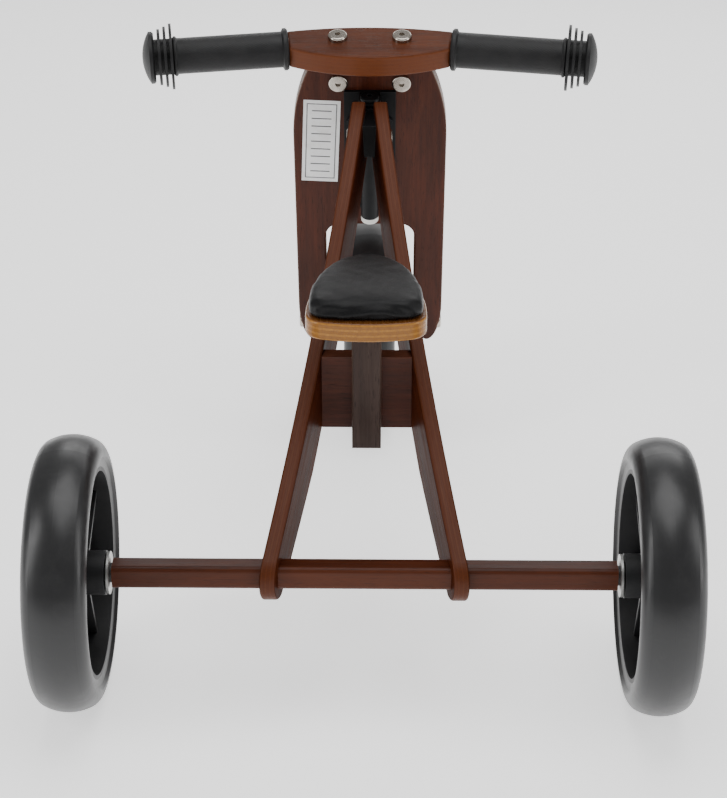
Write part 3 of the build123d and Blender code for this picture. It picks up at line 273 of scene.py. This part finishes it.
# ---- rubber and plastic ----------------------------------------------------------------------
def tyre_material(name, centre, spin_axis=ACROSS):
    """Smooth moulded rubber: parting line at the crown, fine mould rings and faint scuffs."""
    sh = Shader(name)
    place = sh.node("ShaderNodeVectorMath", {0: sh.place(), 1: tuple(centre)}, operation="SUBTRACT")
    offset = sh.dot(place, spin_axis)
    flat = sh.node("ShaderNodeVectorMath", {0: place, 1: (0, 1, 1)}, operation="MULTIPLY")
    radius = sh.node("ShaderNodeVectorMath", {0: flat}, out=1, operation="LENGTH")
    seam = sh.level(sh.math("ABSOLUTE", offset), 0.15 * MM, 0.5 * MM, 1.0, 0.0)
    outer = sh.level(radius, 0.084, 0.088)
    seam = sh.math("MULTIPLY", seam, outer)
    ring_a = sh.level(sh.math("ABSOLUTE", sh.math("SUBTRACT", radius, 0.0765)), 0.2 * MM, 0.6 * MM, 1.0, 0.0)
    ring_b = sh.level(sh.math("ABSOLUTE", sh.math("SUBTRACT", radius, 0.0715)), 0.2 * MM, 0.5 * MM, 1.0, 0.0)
    rings = sh.math("ADD", ring_a, ring_b)
    grain = sh.noise(place, 2400.0, 2.0, 0.5)
    scuff = sh.noise(place, 70.0, 6.0, 0.68, 0.6)
    dust = sh.level(scuff, 0.52, 0.78)
    color = sh.mix(sh.math("MULTIPLY", dust, 0.30), (0.0120, 0.0120, 0.0128), (0.034, 0.0335, 0.033))
    lines = sh.math("MULTIPLY", sh.math("ADD", seam, rings), 0.12)
    height = sh.math("ADD", sh.math("MULTIPLY", grain, 0.10), lines)
    sh.set(Base_Color=color, Roughness=sh.level(scuff, 0.3, 0.8, 0.28, 0.42))
    sh.set(Normal=sh.bump(height, 0.2 * MM, 0.6), Specular_IOR_Level=0.5)
    return sh.material


def moulded(name, dark, light, rough, grain_scale=1500.0, depth=0.05 * MM, gloss=0.5):
    """Moulded plastic with a fine eroded skin and paler arrises."""
    sh = Shader(name)
    place = sh.place()
    skin = sh.noise(place, grain_scale, 3.0, 0.6)
    patch = sh.noise(place, 40.0, 4.0, 0.6)
    color = sh.mix(sh.level(patch, 0.35, 0.75), dark, light)
    arris = tuple(min(1.0, c * 1.8) for c in light)
    color = sh.mix(sh.math("MULTIPLY", sh.edges(0.8 * MM), 0.4), color, arris)
    sh.set(Base_Color=color, Roughness=sh.level(patch, 0.3, 0.75, rough - 0.05, rough + 0.08))
    sh.set(Normal=sh.bump(skin, depth, 0.6), Specular_IOR_Level=gloss)
    return sh.material


def grip_material(side):
    """Soft rubber with fine knurled ribs along the hand grip and a matt skin."""
    node = "grip_right" if side > 0 else "grip_left"
    sh = Shader(f"grip rubber {node[5:]}")
    sweep = math.radians(BAR_SWEEP)
    level = ACROSS.cross(BOARD_UP).normalized()
    axis = (ACROSS * math.cos(sweep) * side + level * math.sin(sweep)).normalized()
    start = middle("handlebar") + ACROSS * side * BAR_HALF_LENGTH
    place = sh.node("ShaderNodeVectorMath", {0: sh.place(), 1: tuple(start)}, operation="SUBTRACT")
    along = sh.dot(place, axis)
    up, out = sh.dot(place, BOARD_UP), sh.dot(place, axis.cross(BOARD_UP))
    turn = sh.math("ARCTAN2", up, out)
    flutes = sh.math("SINE", sh.math("MULTIPLY", turn, 44.0))
    rings = sh.math("SINE", sh.math("MULTIPLY", along, 2 * math.pi / (2.6 * MM)))
    hand = sh.math("MULTIPLY", sh.level(along, 8 * MM, 10 * MM), sh.level(along, 76 * MM, 78 * MM, 1.0, 0.0))
    pattern = sh.math("MULTIPLY", sh.math("MULTIPLY", flutes, rings), hand)
    skin = sh.noise(place, 2600.0, 2.0)
    patch = sh.noise(place, 60.0, 5.0, 0.65)
    color = sh.mix(sh.level(patch, 0.4, 0.75), (0.0060, 0.0060, 0.0066), (0.0135, 0.0135, 0.0135))
    height = sh.math("ADD", sh.math("MULTIPLY", pattern, 0.5), sh.math("MULTIPLY", skin, 0.35))
    sh.set(Base_Color=color, Roughness=sh.level(patch, 0.3, 0.8, 0.42, 0.6))
    sh.set(Normal=sh.bump(height, 0.2 * MM, 0.7))
    sh.set(Sheen_Weight=0.04, Sheen_Roughness=0.4, Specular_IOR_Level=0.32)
    use(sh.material, node)


def metal(name, color, rough, scratch=0.08, depth=0.02 * MM, metallic=1.0):
    """Plated steel with fine scratches and duller patches."""
    sh = Shader(name)
    place = sh.place()
    stretched = sh.node("ShaderNodeVectorMath", {0: place, 1: (1.0, 0.25, 4.0)}, operation="MULTIPLY")
    marks = sh.noise(stretched, 900.0, 4.0, 0.6)
    patch = sh.noise(place, 220.0, 4.0, 0.6)
    tint = sh.mix(sh.level(patch, 0.4, 0.75), color, tuple(c * 0.72 for c in color))
    worn = sh.level(patch, 0.3, 0.8, rough - 0.05, rough + 0.10)
    rough_map = sh.math("ADD", worn, sh.math("MULTIPLY", marks, scratch))
    sh.set(Base_Color=tint, Metallic=metallic, Roughness=rough_map, Normal=sh.bump(marks, depth, 0.4))
    return sh.material


def powder_coat():
    """Satin black powder coat with orange peel, and a painted highlight: paler grey glints laid along the
    arrises.
    """
    sh = Shader("black powder coat")
    place = sh.place()
    peel = sh.noise(place, 750.0, 2.0, 0.5)
    patch = sh.noise(place, 55.0, 4.0, 0.6)
    color = sh.mix(sh.level(patch, 0.35, 0.75), (0.0040, 0.0042, 0.0048), (0.0090, 0.0090, 0.0098))
    # painted highlight: paler grey laid along the convex edges
    color = sh.mix(sh.math("MULTIPLY", sh.edges(0.7 * MM), 0.4), color, (0.045, 0.045, 0.048))
    sh.set(Base_Color=color, Roughness=sh.level(peel, 0.3, 0.8, 0.30, 0.44))
    sh.set(Normal=sh.bump(peel, 0.06 * MM, 0.5), Specular_IOR_Level=0.12)
    return sh.material


def hard_materials():
    """Rubber, plastic and metal nodes."""
    for node in ("front_tyre", "rear_tyre_left", "rear_tyre_right"):
        use(tyre_material(f"{node} rubber", middle(node)), node)
    for side in (-1, 1):
        grip_material(side)
    black = moulded("black moulding", (0.010, 0.010, 0.011), (0.021, 0.021, 0.022), 0.46, gloss=0.4)
    use(black, "front_rim", "rear_rim_left", "rear_rim_right", "rear_hub_cap_left", "rear_hub_cap_right",
        "front_axle_spacers", "rear_axle_spacers", "head_bushings", "front_bushings", "rear_bushings_left",
        "rear_bushings_right")
    nylon = moulded("pale nylon", (0.60, 0.59, 0.55), (0.76, 0.75, 0.71), 0.38, 900.0, 0.03 * MM)
    use(nylon, "kingpin_cap")
    use(powder_coat(), "head_lug", "steering_bracket", "steering_bracket_screws", "seat_bracket", "kingpin")
    nickel = metal("nickel plate", (0.50, 0.455, 0.400), 0.17)
    use(nickel, "handlebar_bolts", "handlebar_barrel_nuts", "head_cross_bolt", "head_sleeve_nut",
        "front_axle_bolt", "front_axle_nut")
    zinc = metal("zinc plate", (0.52, 0.52, 0.505), 0.32)
    use(zinc, "cross_plate_screws", "seat_bracket_screws", "rear_axle_inserts",
        "rear_axle_washers", "rear_axle_bolts", "seat_clamp_bolts", "seat_clamp_washers", "seat_post_inserts")


# ---- label -------------------------------------------------------------------------------
def paper():
    """Slightly soiled satin paper."""
    sh = Shader("label paper")
    place = sh.place()
    soil = sh.noise(place, 90.0, 5.0, 0.65)
    fibre = sh.noise(place, 2500.0, 2.0)
    color = sh.mix(sh.level(soil, 0.45, 0.85), (0.86, 0.86, 0.86), (0.70, 0.685, 0.66))
    sh.set(Base_Color=color, Roughness=sh.level(soil, 0.3, 0.8, 0.42, 0.58))
    sh.set(Normal=sh.bump(fibre, 0.02 * MM, 0.4))
    return sh.material


def print_ink():
    """Dark grey printing ink, a little uneven."""
    sh = Shader("label ink")
    fade = sh.noise(sh.place(), 600.0, 3.0)
    color = sh.mix(sh.level(fade, 0.4, 0.8), (0.035, 0.035, 0.04), (0.10, 0.10, 0.105))
    sh.set(Base_Color=color, Roughness=0.5)
    return sh.material


def label_print():
    """A plain frame with evenly spaced rules on the label: no lettering and no marks."""
    low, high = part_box("board_label")
    centre = (low + high) / 2
    tilt = math.radians(LABEL_TILT)
    up = BOARD_UP * math.cos(tilt) + ACROSS * math.sin(tilt)
    right = ACROSS * math.cos(tilt) - BOARD_UP * math.sin(tilt)
    face = centre - BOARD_OUT * LABEL_CLEARANCE
    mesh = bmesh.new()

    def bar(x, z, width, height):
        corners = []
        for depth in (0.0, INK_THICKNESS):
            for sx, sz in ((-1, -1), (1, -1), (1, 1), (-1, 1)):
                spot = right * (x + sx * width / 2) * MM + up * (z + sz * height / 2) * MM
                corners.append(mesh.verts.new(face + spot - BOARD_OUT * depth))
        near, far = corners[:4], corners[4:]
        mesh.faces.new(near)
        mesh.faces.new(far[::-1])
        for i in range(4):
            mesh.faces.new((near[i - 1], near[i], far[i], far[i - 1])[::-1])

    def outline(x, z, width, height, pen):
        for side in (-1, 1):
            bar(x + side * (width - pen) / 2, z, pen, height)
            bar(x, z + side * (height - pen) / 2, width - 2 * pen, pen)

    outline(0, 0, 23, 69, 0.7)
    for row in range(9):
        bar(0, 28 - row * 7, 15, 0.9)
    bmesh.ops.recalc_face_normals(mesh, faces=mesh.faces)
    data = bpy.data.meshes.new("label_print")
    mesh.to_mesh(data)
    mesh.free()
    piece = bpy.data.objects.new("label_print", data)
    bpy.context.scene.collection.objects.link(piece)
    data.materials.append(print_ink())
    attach(piece, "fork")


# ---- seat pad ----------------------------------------------------------------------------
PAD_VOXEL = 4 * MM
PAD_CAP = 3.2 * MM
PAD_FRAMES = 20


def leatherette():
    """Black coated fabric: pebbled cells, fine creases and a soft grey sheen."""
    sh = Shader("leatherette")
    place = sh.place()
    stray = sh.node("ShaderNodeTexNoise", {"Vector": place, "Scale": 300.0}, out=1)
    stray = sh.node("ShaderNodeVectorMath", {0: stray, 1: (0.0012,) * 3}, operation="MULTIPLY")
    warped = sh.node("ShaderNodeVectorMath", {0: place, 1: stray}, operation="ADD")
    cells = sh.node("ShaderNodeTexVoronoi", {"Vector": warped, "Scale": 820.0}, feature="DISTANCE_TO_EDGE")
    pebble = sh.level(cells, 0.0, 0.22)
    crease = sh.noise(place, 120.0, 6.0, 0.7, 1.2)
    patch = sh.noise(place, 28.0, 4.0, 0.6)
    # painted shade: the grooves between the pebbled cells are coloured darker than the cell tops
    color = sh.mix(pebble, (0.0040, 0.0040, 0.0044), (0.0085, 0.0085, 0.0090))
    color = sh.mix(sh.level(patch, 0.5, 0.8, 0.0, 0.35), color, (0.017, 0.017, 0.018))
    height = sh.math("ADD", sh.math("MULTIPLY", pebble, 0.6), sh.math("MULTIPLY", crease, 0.6))
    sh.set(Base_Color=color, Roughness=sh.level(crease, 0.3, 0.75, 0.34, 0.50))
    sh.set(Normal=sh.bump(height, 0.10 * MM, 0.6), Specular_IOR_Level=0.16)
    return sh.material


def apply_modifiers(piece):
    """Replaces the piece's mesh with what its modifiers make of it."""
    graph = bpy.context.evaluated_depsgraph_get()
    made = bpy.data.meshes.new_from_object(piece.evaluated_get(graph))
    piece.modifiers.clear()
    piece.data = made


def inflate(piece):
    """Cloth simulation: air under the cover, the stapled lower edge held still."""
    start = [vertex.co.copy() for vertex in piece.data.vertices]
    floor = min(point.z for point in start) + PAD_VOXEL * 0.8
    held = piece.vertex_groups.new(name="held")
    held.add([i for i, point in enumerate(start) if point.z < floor], 1.0, "REPLACE")
    cloth = piece.modifiers.new("Cloth", "CLOTH")
    cloth.settings.quality = 6
    cloth.settings.mass = 0.2
    cloth.settings.use_pressure = True
    cloth.settings.uniform_pressure_force = 4.0
    cloth.settings.vertex_group_mass = "held"
    cloth.settings.tension_stiffness = 12.0
    cloth.settings.compression_stiffness = 12.0
    cloth.settings.bending_stiffness = 0.6
    cloth.settings.effector_weights.gravity = 0.0
    cloth.collision_settings.use_collision = False
    cloth.point_cache.frame_start = 1
    cloth.point_cache.frame_end = PAD_FRAMES
    for number in range(1, PAD_FRAMES + 1):
        bpy.context.scene.frame_set(number)
    apply_modifiers(piece)
    for vertex, origin in zip(piece.data.vertices, start):
        move = vertex.co - origin
        if move.length > PAD_CAP:
            vertex.co = origin + move.normalized() * PAD_CAP
    bpy.context.scene.frame_set(1)


def crease_pad(piece, low, high):
    """Folds pulled into the rear wall and corners, and the undercut where the cover turns in."""
    half = (high.x - low.x) / 2
    tall = high.z - low.z
    for vertex in piece.data.vertices:
        point = vertex.co
        rise = (point.z - low.z) / tall
        rear = max(0.0, 1 - (point.y - low.y) / (11 * MM))
        x = point.x / half
        if rear > 0 and rise < 0.97:
            arcs = math.sin((rise * 1.15 + 0.75 * x * x - 0.12 * math.sin(5 * x)) * math.tau * 1.55)
            folds = math.sin(x * 21 + 2.2 * rise) * (1 - rise) * 0.45
            fade = math.sin(math.pi * min(1.0, max(0.0, rise))) * min(1.0, 3 * rear)
            point.y += (arcs + folds) * 0.55 * MM * fade
        tuck = max(0.0, 1 - rise / 0.22)
        if tuck > 0:
            inward = Vector((-point.x, (low.y + high.y) / 2 - point.y, 0))
            point += inward.normalized() * 1.1 * MM * tuck ** 2
        swirl = math.sin(point.x * 330 + math.sin(point.y * 210) * 2)
        ripple = swirl * math.sin(point.y * 190 + point.x * 60)
        if rise > 0.7:
            point.z += ripple * 0.10 * MM
        point.z = max(point.z, low.z)


def seat_pad():
    """Upholstered pad: inflated from its CAD shape, creased, and laid on the seat board."""
    low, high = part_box("seat_pad")
    data = NODES["seat_pad"].data.copy()
    data.name = "seat_cover"
    data.materials.clear()
    piece = bpy.data.objects.new("seat_cover", data)
    bpy.context.scene.collection.objects.link(piece)
    centre = (low + high) / 2
    for vertex in data.vertices:
        slim = Vector((0.985, 0.985, 0.90))
        base = Vector((centre.x, centre.y, low.z))
        vertex.co = base + (vertex.co - base) * slim
    remesh = piece.modifiers.new("Remesh", "REMESH")
    remesh.mode = "VOXEL"
    remesh.voxel_size = PAD_VOXEL
    apply_modifiers(piece)
    inflate(piece)
    smooth = piece.modifiers.new("Smooth", "SMOOTH")
    smooth.factor = 0.5
    smooth.iterations = 3
    finer = piece.modifiers.new("Subdivision", "SUBSURF")
    finer.levels = finer.render_levels = 2
    apply_modifiers(piece)
    crease_pad(piece, low, high)
    piece.data.shade_smooth()
    piece.data.materials.clear()
    piece.data.materials.append(leatherette())
    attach(piece, "seat")
    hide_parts("seat_pad")


# ---- studio ------------------------------------------------------------------------------
CAMERA_PLACE = Vector((12.6, -1316.4, 768.3)) * MM
CAMERA_PITCH = 63.66
CAMERA_TURN = 0.686
CAMERA_LENS = 90.33


def softbox(name, place, target, width, height, power):
    """Rectangular area light that looks at a point."""
    data = bpy.data.lights.new(name, "AREA")
    data.shape = "RECTANGLE"
    data.size, data.size_y, data.energy = width, height, power
    lamp = bpy.data.objects.new(name, data)
    lamp.location = place
    lamp.rotation_euler = (Vector(target) - Vector(place)).to_track_quat("-Z", "Y").to_euler()
    bpy.context.scene.collection.objects.link(lamp)


def studio():
    """Pale floor, soft lights and the camera."""
    sh = Shader("pale floor")
    speck = sh.noise(sh.place(), 30.0, 4.0)
    color = sh.mix(sh.level(speck, 0.3, 0.7), (0.86, 0.86, 0.86), (0.88, 0.88, 0.88))
    sh.set(Base_Color=color, Roughness=0.75)
    sh.set(Emission_Color=(1.0, 1.0, 1.0, 1.0), Emission_Strength=0.95)
    mesh = bmesh.new()
    bmesh.ops.create_grid(mesh, x_segments=1, y_segments=1, size=12.0)
    data = bpy.data.meshes.new("floor")
    mesh.to_mesh(data)
    mesh.free()
    floor = bpy.data.objects.new("floor", data)
    data.materials.append(sh.material)
    bpy.context.scene.collection.objects.link(floor)

    world = bpy.data.worlds.new("studio")
    world.use_nodes = True
    world.node_tree.nodes["Background"].inputs[0].default_value = (1.0, 1.0, 1.0, 1.0)
    world.node_tree.nodes["Background"].inputs[1].default_value = 0.38
    bpy.context.scene.world = world
    softbox("top", (0.1, -0.1, 1.7), (0, 0, 0.1), 1.3, 1.3, 16.0)
    softbox("left", (-1.5, -0.7, 0.9), (0, 0, 0.15), 0.5, 1.4, 12.0)
    softbox("right", (1.6, -0.5, 0.8), (0, 0, 0.15), 0.5, 1.4, 9.0)
    softbox("back", (0.2, 1.5, 1.0), (0, 0, 0.2), 1.6, 0.7, 8.0)

    lens = bpy.data.cameras.new("camera")
    lens.lens = CAMERA_LENS
    lens.sensor_width = 36.0
    camera = bpy.data.objects.new("camera", lens)
    camera.location = CAMERA_PLACE
    camera.rotation_euler = Euler((math.radians(CAMERA_PITCH), 0, math.radians(CAMERA_TURN)))
    bpy.context.scene.collection.objects.link(camera)
    bpy.context.scene.camera = camera


wood_materials()
hard_materials()
use(paper(), "board_label")
label_print()
seat_pad()
studio()
